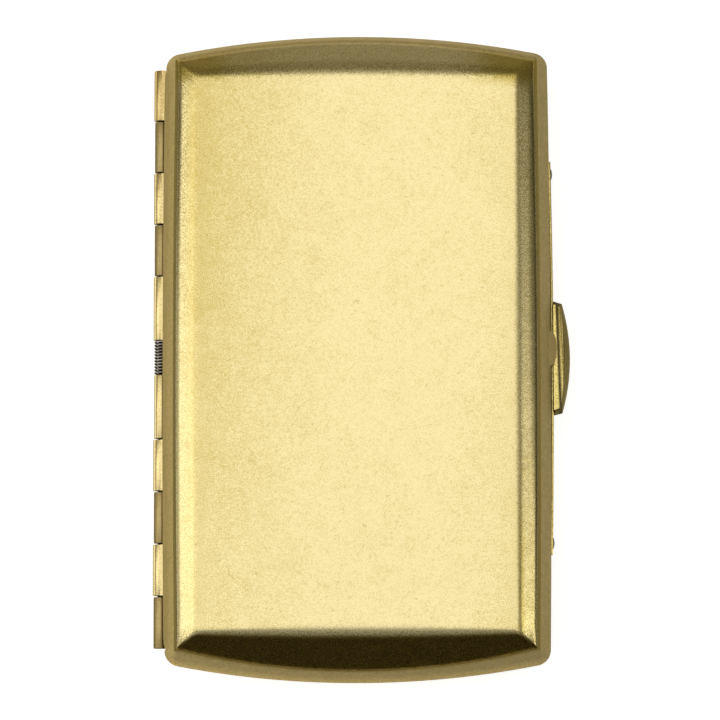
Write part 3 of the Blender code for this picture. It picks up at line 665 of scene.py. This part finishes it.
def wire(route, diameter):
    """One round wire along the route."""
    curve = bpy.data.curves.new("wire", "CURVE")
    curve.dimensions = "3D"
    curve.bevel_depth = diameter / 2
    curve.bevel_resolution = wire_rounding
    curve.use_fill_caps = True
    spline = curve.splines.new("POLY")
    spline.points.add(len(route) - 1)
    for point, place in zip(spline.points, route):
        point.co = (*place, 1.0)
    holder = new_object("wire", curve)
    mesh = settled(holder)
    bpy.data.objects.remove(holder, do_unlink=True)
    return mesh


def coil_places(radius, turns, half):
    """The turns of a coil round the Y axis, from half to minus half."""
    count = round(turns * turn_steps)
    places = []
    for step in range(count + 1):
        angle = quarter_turn + whole_turn * turns * step / count
        places.append((radius * math.cos(angle), half - 2 * half * step / count, radius * math.sin(angle)))
    return places


# Half shells
def outline(wide, long, radius, bow, corner):
    """The rounded oblong as one closed list of points, from the middle of the +X side towards +Y."""
    corner_x = wide - bow - corner
    arc_y = long - radius
    corner_y = arc_y + math.sqrt((radius - corner) ** 2 - corner_x ** 2)
    lean = math.atan2(corner_y - arc_y, corner_x)
    quarter = []
    for step in range(side_steps):
        share = step / side_steps
        quarter.append((wide - bow * share ** 2, corner_y * share))
    for step in range(corner_steps):
        angle = lean * step / corner_steps
        quarter.append((corner_x + corner * math.cos(angle), corner_y + corner * math.sin(angle)))
    for step in range(end_steps + 1):
        angle = lean + (quarter_turn - lean) * step / end_steps
        quarter.append((radius * math.cos(angle), arc_y + radius * math.sin(angle)))
    back = quarter[:0:-1]
    loop = quarter[:-1] + [(-x, y) for x, y in back]
    return loop + [(-x, -y) for x, y in quarter[:-1]] + [(x, -y) for x, y in back]


def body_outline(form, inset):
    corner = max(form.corner - inset, least_corner)
    return outline(form.half_width - inset, form.half_length - inset, form.end_radius - inset, side_bow,
                   corner)


def outline_at(outlines, inset, index):
    """A place on the outline at an inset, between the outlines that are worked out once."""
    low = min(int(inset / outline_step), len(outlines) - 2)
    share = inset / outline_step - low
    first, second = outlines[low][index], outlines[low + 1][index]
    return (first[0] + (second[0] - first[0]) * share, first[1] + (second[1] - first[1]) * share)


def face_bow(form, place):
    bow = far_face_bow if place[1] > 0 else near_face_bow
    return bow * (1 - (place[0] / form.face_x) ** 2)


def facet_heights(form, place):
    """Heights of the sloping side and end facets over the parting plane."""
    side = form.top - math.tan(side_slope) * (abs(place[0]) - form.face_x)
    end = form.top - math.tan(end_slope) * (abs(place[1]) - form.face_y - face_bow(form, place))
    return side, end


def face_outline(form, inset, corner):
    places = outline(form.face_x - inset, form.face_y - inset, face_end_radius, 0.0, corner)
    return [(x, y + math.copysign(face_bow(form, (x, y)), y)) for x, y in places]


def rounded(before, corner, after, radius, steps):
    """Points that round the corner off between two straight stretches."""
    back = before - corner
    on = after - corner
    turn = math.pi - back.angle(on)
    tangent = min(radius * math.tan(turn / 2), back.length / 2, on.length / 2)
    start = corner + back.normalized() * tangent
    end = corner + on.normalized() * tangent
    points = []
    for step in range(steps + 1):
        share = step / steps
        points.append(start.lerp(corner, share).lerp(corner.lerp(end, share), share))
    return points


def crowned(form, place):
    """A place on the outer face, lowered towards the face's sides as pressed sheet is."""
    share = min(abs(place[0]) / form.face_x, 1.0)
    return Vector((place[0], place[1], place[2] - crown * share ** crown_power))


def column(form, outlines, index, face_point, inner_point):
    """The profile from the rim to the flat face at one place on the shell's outline."""
    inset = 0.0
    for _ in range(edge_rounds):
        place = outline_at(outlines, inset, index)
        side, end = facet_heights(form, place)
        inset = min(side, end) * draft
    edge = Vector((*place, min(side, end)))
    crease_radius = form.creases[end < side]
    rim = Vector((*outline_at(outlines, rim_half * draft, index), rim_half))
    crease = Vector((*face_point, form.top))
    inward = Vector((*inner_point, form.top))
    bend = rounded(rim, edge, crease, form.edge, edge_steps)
    top = rounded(edge, crease, inward, crease_radius, crease_steps)
    wall = [rim.lerp(bend[0], share) for share in wall_shares]
    facet = [bend[-1].lerp(top[0], share) for share in facet_shares]
    middle = Vector((face_point[0] * middle_x_share, face_point[1] * middle_y_share, form.top))
    face = [top[-1].lerp(middle, share) for share in face_shares]
    return [crowned(form, place) for place in [*wall, *bend, *facet, *top, *face]]


def skin(bm, form, side):
    outlines = [body_outline(form, outline_step * count) for count in range(outline_count)]
    face = face_outline(form, 0.0, face_corner_radius)
    inner = face_outline(form, end_crease, least_corner)
    columns = [column(form, outlines, index, face[index], inner[index]) for index in range(len(face))]
    rings = [[bm.verts.new((x, y, parting + side * height)) for x, y, height in ring]
             for ring in zip(*columns)]
    bridge_all(bm, rings)
    bm.faces.new(rings[-1])
    return rings[0]


def half_shell(side):
    bm = bmesh.new()
    bridge(bm, skin(bm, outer_form, side), skin(bm, inner_form, side))
    return mesh_of("shell", bm)


def wall_x(drop):
    return half_width - draft * drop


def wall_recess(y):
    return side_bow * (y / (body_length / 2)) ** 2


def wall_frame(drop):
    return Matrix.Translation((wall_x(drop), 0.0, parting - drop)) @ Matrix.Rotation(wall_draft, 4, "Y")


def leaf_face(height):
    return leaf_root + draft * height


def hinge_notch():
    return box((hinge_x - over, -barrel_half - notch_clearance, parting - notch_half),
               (leaf_face(notch_half), barrel_half + notch_clearance, parting + notch_half))


def rivet_holes():
    centres = [(0.0, way * rivet_spacing / 2, 0.0) for way in (1, -1)]
    mesh = rods(rivet_hole_radius, 2 * (sheet + rivet_head_radius), centres,
                Matrix.Rotation(quarter_turn, 4, "Y"))
    mesh.transform(wall_frame(strip_drop))
    return mesh


def hook_window():
    return box((half_width - window_depth, -window_half,
                parting - hook_drop - hook_thickness - window_clearance),
               (half_width + over, window_half, parting - hook_drop + window_clearance))


def hinge_bead():
    """The bead above the barrel, where the lid's wall flares out and covers the knuckles' inner side."""
    low = notch_half - bead_drop
    half = barrel_half + notch_clearance
    sections = []
    for step in range(bead_steps + 1):
        share = 2 * step / bead_steps - 1
        swell = math.sqrt(max(1 - abs(share) ** bead_squareness, least_swell))
        y = share * half
        root = -half_width + wall_recess(y)
        ring = [(root + draft * low + bead_root, low),
                (root + draft * low * (1 - swell) + bead_root * (1 - swell), low)]
        for rise in range(flare_steps + 1):
            up = rise / flare_steps
            height = low + bead_drop * 0.5 + bead_rise * up
            wall = root + draft * height
            ring.append((wall + bead_proud * up - draft * height * swell * (1 - up) ** 2.0, height))
        ring.append((root + draft * (low + bead_rise) + bead_root, low + bead_drop * 0.5 + bead_rise))
        sections.append([(x, y, parting + height) for x, height in ring])
    return loft("bead", sections)


def lip():
    """The lobe on the lid's rim, where the wall flares out over the thumb piece."""
    low = parting + rim_half + lip_gap
    sections = []
    for step in range(lip_steps + 1):
        share = 2 * step / lip_steps - 1
        reach = lip_reach * math.sqrt(max(1 - abs(share) ** lip_roundness, 0.0))
        y = lip_offset + share * lip_width / 2
        front = half_width - rim_half + reach
        ring = [(half_width - lip_root, low), (half_width - lip_under + reach * 0.9, low),
                (front, low + lip_edge_start), (front, low + lip_edge_end)]
        for rise in range(1, flare_steps + 1):
            up = rise / flare_steps
            ring.append((half_width - rim_half - draft * lip_rise * up - lip_tuck * up
                         + reach * (1 - up) ** lip_flare,
                         low + lip_edge_end + (lip_rise - lip_edge_end) * up))
        ring.append((half_width - lip_root - draft * lip_rise, low + lip_rise))
        sections.append([(x, y, z) for x, z in ring])
    return loft("lip", sections)


base_mesh = settle(half_shell(-1), cuts=(hinge_notch(), rivet_holes(), hook_window()))
lid_mesh = settle(half_shell(1), cuts=(hinge_notch(),))
piece("base_shell_pressed", base_mesh, shell_brass, "base", ("base_shell",))
piece("lid_shell_pressed", lid_mesh, shell_brass, "lid", ("lid_shell",))
piece("lid_lip_flared", lip(), lip_brass, "lid")
piece("lid_hinge_bead", hinge_bead(), bead_brass, "lid")


# Hinge
def knuckle_spans(of_lid):
    spans = []
    for way in (1, -1):
        start = spring_room / 2
        for index in range(knuckles_each_way):
            length = knuckle_length if index else middle_knuckle_length
            if ((index % 2 == 0) == (way > 0)) == of_lid:
                spans.append(tuple(sorted((way * start, way * (start + length)))))
            start += length + knuckle_gap
    return sorted(spans)


def knuckle(bm, start, end, radius, side, seam_at):
    """A rolled knuckle round the pin with worn ends, its seam, and the web that joins it to the leaf."""
    bend = knuckle_chamfer * knuckle_chamfer_bend
    stations = [(start, knuckle_chamfer), (start + bend, bend), (start + knuckle_chamfer, 0.0),
                (end - knuckle_chamfer, 0.0), (end - bend, bend), (end, knuckle_chamfer)]
    rings = []
    for place, shrink in stations:
        ring = []
        for step in range(round_sides):
            angle = whole_turn * step / round_sides
            off = math.remainder(angle - seam_at, whole_turn)
            dip = seam_depth * math.exp(-(off / seam_spread) ** 2)
            out = radius - shrink - dip
            ring.append(bm.verts.new((hinge_x + out * math.cos(angle), place,
                                      parting + side * out * math.sin(angle))))
        rings.append(ring)
    for place in (end, start):
        rings.append([bm.verts.new((hinge_x + x, place, parting + side * z))
                      for x, z in circle(bore_radius, round_sides)])
    for index, ring in enumerate(rings):
        bridge(bm, rings[index - 1], ring)
    low, high = sorted((parting + side * (radius - leaf_thickness),
                        parting + side * (radius - web_trim / 10)))
    add_box(bm, (hinge_x, start + web_trim, low),
            (leaf_face(radius) + leaf_thickness / 2, end - web_trim, high))


def leaf_strip(side):
    """The leaf's strip on the inside of the wall, with the slot for the coil's leg."""
    slot = spring_slot_width / 2
    points = [(-barrel_half, rim_half), (-slot, rim_half), (-slot, spring_slot_height),
              (slot, spring_slot_height), (slot, rim_half), (barrel_half, rim_half),
              (barrel_half, leaf_height), (-barrel_half, leaf_height)]
    bm = bmesh.new()
    skins = [[bm.verts.new((leaf_face(height) + out, y, parting + side * height)) for y, height in points]
             for out in (0.0, leaf_thickness)]
    for ring in skins:
        bm.faces.new(ring)
    bridge(bm, *skins)
    return settle(mesh_of("strip", bm), bevel_width=leaf_bevel)


def hinge_leaf(name, radius, side, material, body, seam_at, node):
    bm = bmesh.new()
    for start, end in knuckle_spans(side > 0):
        knuckle(bm, start, end, radius, side, seam_at)
    bm.from_mesh(leaf_strip(side))
    return piece(name, mesh_of(name, bm), material, body, (node,))


def hinge_coil_route():
    pitch = (spring_room - coil_wire - coil_end_room) / coil_turns
    half = coil_turns * pitch / 2
    wall_line = -half_width + sheet + leaf_gap + coil_wire / 2
    corner = wall_line + draft * notch_half
    tip = wall_line + draft * coil_leg_height
    leg = [(tip, half, coil_leg_height), (corner, half, notch_half + coil_leg_gap),
           (corner - coil_leg_gap, half, coil_radius + coil_leg_gap)]
    route = leg + [(hinge_x + x, y, height) for x, y, height in coil_places(coil_radius, coil_turns, half)]
    route += [(x, -y, -height) for x, y, height in reversed(leg)]
    return [(x, y, parting + height) for x, y, height in route], half


hinge_leaf("lid_hinge_knuckles", lid_knuckle_radius, 1, hinge_bright, "lid", lid_seam, "lid_hinge_leaf")
base_leaf = hinge_leaf("base_hinge_knuckles", base_knuckle_radius, -1, hinge_olive, "base", base_seam,
                       "base_hinge_leaf")
# The middle knuckle of the base's leaf is as bright as the lid's
base_leaf.data.materials.append(hinge_bright)
for polygon in base_leaf.data.polygons:
    if polygon.center.x < leaf_root and abs(polygon.center.y) < spring_room / 2 + middle_knuckle_length:
        polygon.material_index = 1
coil_route, coil_half = hinge_coil_route()
coil = piece("hinge_coil", wire(coil_route, coil_wire), hinge_wire, None, ("hinge_spring",))
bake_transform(coil)


# Latch
def strip_back(y):
    return strip_gap + strip_bow * (1 - (2 * y / strip_length) ** 2) - wall_recess(y)


def latch_strip_half(way):
    """Half of the strip, from its middle, hidden behind the thumb piece, to one end."""
    places = [way * (strip_split + (strip_length / 2 - strip_split) * step / strip_steps)
              for step in range(strip_steps + 1)]
    points = [(strip_back(y), y) for y in places]
    points += [(strip_back(y) + strip_thickness, y) for y in reversed(places)]
    mesh = plate(points, strip_height)
    mesh.transform(wall_frame(strip_drop))
    return settle(mesh, cuts=(rivet_holes(),), bevel_width=small_bevel)


def latch_rivet(name, way, node):
    """The rivet with its low round head outside, and its domed tail inside the wall."""
    place = rivet_spacing / 2
    seat = strip_back(place) + strip_thickness + rivet_seat
    inside = -wall_recess(place) - sheet - leaf_gap
    profile = []
    for step in range(head_steps + 1):
        angle = quarter_turn * step / head_steps
        profile.append((rivet_head_radius * math.sin(angle), seat + rivet_head_height * math.cos(angle)))
    profile += [(rivet_shank_radius, seat), (rivet_shank_radius, inside)]
    for step in range(tail_steps + 1):
        angle = quarter_turn * step / tail_steps
        profile.append((rivet_tail_radius * math.cos(angle), inside - rivet_tail_height * math.sin(angle)))
    bm = bmesh.new()
    rings = [[bm.verts.new((x, y, height)) for x, y in circle(radius, rivet_sides)]
             for radius, height in profile[1:-1]]
    bridge_all(bm, rings)
    for ring, tip in ((rings[0], profile[0]), (rings[-1], profile[-1])):
        apex = bm.verts.new((0.0, 0.0, tip[1]))
        for index in range(rivet_sides):
            bm.faces.new((ring[index - 1], ring[index], apex))
    mesh = mesh_of(name, bm)
    mesh.transform(Matrix.Translation((wall_x(strip_drop), way * place, parting - strip_drop))
                   @ Matrix.Rotation(quarter_turn + wall_draft, 4, "Y"))
    piece(name, mesh, rivet_dark, "base", (node,))


def thumb_back(drop):
    return wall_x(drop) + (strip_stand + thumb_seat) / math.cos(wall_draft)


def thumb_section(share):
    """The thumb piece's outline at a height, from -1 at its underside to 1 at its top."""
    drop = thumb_drop + thumb_height * (1 - share) / 2
    back = thumb_back(drop) if share < 1 else half_width + ledge_inset
    fullness = math.sqrt(1 - (thumb_blunt_share * share) ** 2)
    end = half_width + thumb_end_reach - thumb_edge * (1 - fullness)
    half = thumb_length / 2 - thumb_end_round * (1 - fullness)
    points = [(back, half * (2 * step / thumb_steps - 1)) for step in range(thumb_steps + 1)]
    for step in range(1, thumb_steps):
        along = 1 - 2 * step / thumb_steps
        points.append((end + thumb_bulge * fullness * (1 - along ** 2), half * along))
    return [(x, y, parting - drop) for x, y in points]


def thumb_piece():
    shares = [math.sin(quarter_turn * (2 * level / thumb_levels - 1)) for level in range(thumb_levels + 1)]
    groove = box((-groove_width / 2, -thumb_length, -groove_depth), (groove_width / 2, thumb_length, over))
    place = Matrix.Translation((half_width + groove_place + groove_width / 2, 0.0, parting - thumb_drop))
    groove.transform(place @ Matrix.Rotation(groove_lean, 4, "Z"))
    return settle(loft("thumb", [thumb_section(share) for share in shares]), cuts=(groove,),
                  bevel_width=small_bevel)


for hand, way in (("right", 1), ("left", -1)):
    strip = piece("latch_strip_bowed_" + hand, latch_strip_half(way), latch_brass, None,
                  ("latch_strip",))
    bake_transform(strip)
    latch_rivet("latch_rivet_head_" + hand, way, "latch_rivet_" + hand)
piece("thumb_piece_domed", thumb_piece(), thumb_brass, "thumb", ("thumb_piece",))


# Retaining arms
def arm_droop():
    fall = half_height - sheet - arm_pivot_depth + arm_eye_radius - arm_thickness - arm_floor_gap
    return math.asin(fall / arm_length)


def arm_section():
    """The blade and the eye rolled round its pin, seen from the side."""
    under = arm_eye_radius - arm_thickness
    bend = arm_length - arm_lip_length
    points = [(0.0, arm_eye_radius), (bend, arm_eye_radius),
              (arm_length - arm_thickness / 2, arm_eye_radius + arm_lip_rise),
              (arm_length, under + arm_lip_rise), (bend + arm_thickness / 2, under)]
    start = math.asin(under / arm_eye_radius)
    for step in range(eye_steps):
        angle = start - (start + 3 * quarter_turn) * step / eye_steps
        points.append((arm_eye_radius * math.cos(angle), arm_eye_radius * math.sin(angle)))
    return points


def arm_corner_cut(way):
    x, y = arm_length - arm_corner, way * (arm_width / 2 - arm_corner)
    points = [(arm_length + over, way * (arm_width / 2 + over)), (x, way * (arm_width / 2 + over))]
    for step in range(arm_corner_steps + 1):
        angle = quarter_turn * (1 - step / arm_corner_steps)
        points.append((x + arm_corner * math.cos(angle), y + way * arm_corner * math.sin(angle)))
    points.append((arm_length + over, y))
    return plate(points, arm_cut_depth)


def retainer_arm(side):
    mesh = plate([(x, -side * height) for x, height in arm_section()], arm_width)
    mesh.transform(Matrix.Rotation(quarter_turn, 4, "X"))
    bore = rods(arm_bore_radius, arm_width + over, [(0.0, 0.0, 0.0)], Matrix.Rotation(quarter_turn, 4, "X"))
    slot = box((-arm_eye_radius - over, -arm_slot_width / 2, -arm_eye_radius - over),
               (arm_slot_length, arm_slot_width / 2, arm_eye_radius + over))
    mesh = settle(mesh, cuts=(bore, slot, arm_corner_cut(1), arm_corner_cut(-1)), bevel_width=small_bevel)
    mesh.transform(Matrix.Translation((arm_pivot_x, 0.0, parting + side * arm_pivot_depth))
                   @ Matrix.Rotation(-side * arm_droop(), 4, "Y"))
    return mesh


def arm_coil(side):
    half = arm_coil_turns * arm_coil_pitch / 2
    route = [(arm_leg_length, half, arm_coil_radius - arm_leg_dip),
             (arm_slot_length, half, arm_coil_radius - arm_knee_dip),
             *coil_places(arm_coil_radius, arm_coil_turns, half), (-arm_coil_radius, -half, -arm_wall_leg)]
    middle = parting + side * arm_pivot_depth
    return wire([(arm_pivot_x + x, y, middle - side * height) for x, y, height in route], arm_wire), half


for side, half_name in ((-1, "base"), (1, "lid")):
    arm = half_name + "_arm"
    piece(arm + "_blade", retainer_arm(side), arm_brass, arm, (half_name + "_retainer_arm",))
    coil_mesh, half = arm_coil(side)
    coil = piece(arm + "_coil", coil_mesh, spring_steel, None,
                 (half_name + "_retainer_spring",))
    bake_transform(coil)

# The solids that keep their shape
kept = {"hinge_pin": pin_steel_dark_with_painted_shade, "latch_hook": spring_steel, "lid_catch": latch_brass,
        "base_retainer_pin": spring_steel, "lid_retainer_pin": spring_steel}
for half_name in ("base", "lid"):
    for hand in ("right", "left"):
        kept[f"{half_name}_retainer_lug_{hand}"] = arm_brass
for name, material in kept.items():
    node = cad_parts[name]
    node.data.materials.clear()
    node.data.materials.append(material)


# Floor, lamps, world and camera
floor_radii, floor_sides = (0.4, 2.0, 8.0), 96
floor_glow = 0.70
lamps = (("overhead", (-0.79, 0.13, 1.35), 2.98, 1.06, 0.77),
         ("overhead_wide", (-0.81, -0.10, 1.40), 3.08, 2.30, 0.24),
         ("right_side", (1.049, -0.40, 0.762), 0.55, 1.00, 1.72),
         ("left_side", (-1.096, -0.32, 0.698), 1.06, 1.10, 0.42))
camera_place = (0.00552, -0.06841, 0.6328)
camera_turns = ((-0.0028, "Z"), (0.1086, "X"), (0.0084, "Y"))
camera_lens = 210.4
camera_sensor = 36.0
camera_range = (0.01, 20.0)


def floor_material():
    material = bpy.data.materials.new("pale_floor")
    material.use_nodes = True
    nodes = Nodes(material.node_tree)
    shader = material.node_tree.nodes["Principled BSDF"]
    cloud = nodes.noise(nodes.add("ShaderNodeTexCoord").outputs["Object"], 3.0)
    colour = nodes.mix(cloud, rgba((0.86, 0.88, 0.93)), rgba((0.87, 0.89, 0.94)))
    nodes.put(shader.inputs["Base Color"], colour)
    shader.inputs["Roughness"].default_value = 0.9
    shader.inputs["Specular IOR Level"].default_value = 0.0
    shader.inputs["Emission Color"].default_value = (1.0, 1.0, 1.0, 1.0)
    path = nodes.add("ShaderNodeLightPath").outputs
    seen = nodes.most(path["Is Camera Ray"], nodes.most(path["Is Glossy Ray"], path["Is Transmission Ray"]))
    nodes.put(shader.inputs["Emission Strength"], nodes.times(seen, floor_glow))
    return material


def make_floor():
    bm = bmesh.new()
    rings = [[bm.verts.new((x, y, 0.0)) for x, y in circle(radius, floor_sides)] for radius in floor_radii]
    bm.faces.new(rings[0])
    bridge_all(bm, rings)
    mesh = mesh_of("floor", bm)
    mesh.materials.append(floor_material())
    new_object("floor", mesh)


def soft_lamp(name, place, wide, long, radiance):
    """A soft box, wide across the case and long along it. Only those at a side face the case."""
    light = bpy.data.lights.new(name, "AREA")
    light.shape = "RECTANGLE"
    light.size = wide
    light.size_y = long
    light.energy = math.pi * wide * long * radiance
    out = Vector((place[0], 0.0, place[2])).normalized() if "side" in name else Vector((0.0, 0.0, 1.0))
    along = Vector((0.0, 1.0, 0.0))
    across = along.cross(out)
    new_object(name, light).matrix_world = (Matrix.Translation(place)
                                            @ Matrix((across, along, out)).transposed().to_4x4())


def make_world():
    """Faint light from all around, a little more from the far end and the hinge side."""
    world = bpy.data.worlds.new("studio")
    bpy.context.scene.world = world
    world.use_nodes = True
    nodes = Nodes(world.node_tree)
    background = world.node_tree.nodes["Background"]
    way = nodes.axes(nodes.add("ShaderNodeTexCoord").outputs["Generated"])
    far = nodes.ramp(way["Y"], -0.45, 0.80, 0.008, 0.20)
    glow = nodes.ramp(way["X"], 0.0, -0.9, 0.0, 0.10)
    nodes.put(background.inputs["Strength"], nodes.plus(far, glow))
    background.inputs["Color"].default_value = (1.0, 0.90, 0.64, 1.0)


def make_camera():
    data = bpy.data.cameras.new("camera")
    data.lens = camera_lens
    data.sensor_width = camera_sensor
    data.clip_start, data.clip_end = camera_range
    camera = new_object("camera", data)
    stand = Matrix.Translation(camera_place)
    for angle, axis in camera_turns:
        stand = stand @ Matrix.Rotation(angle, 4, axis)
    camera.matrix_world = stand
    bpy.context.scene.camera = camera


make_floor()
make_world()
for lamp in lamps:
    soft_lamp(*lamp)
make_camera()
bpy.context.scene.view_settings.view_transform = "Standard"

bpy.context.view_layer.update()
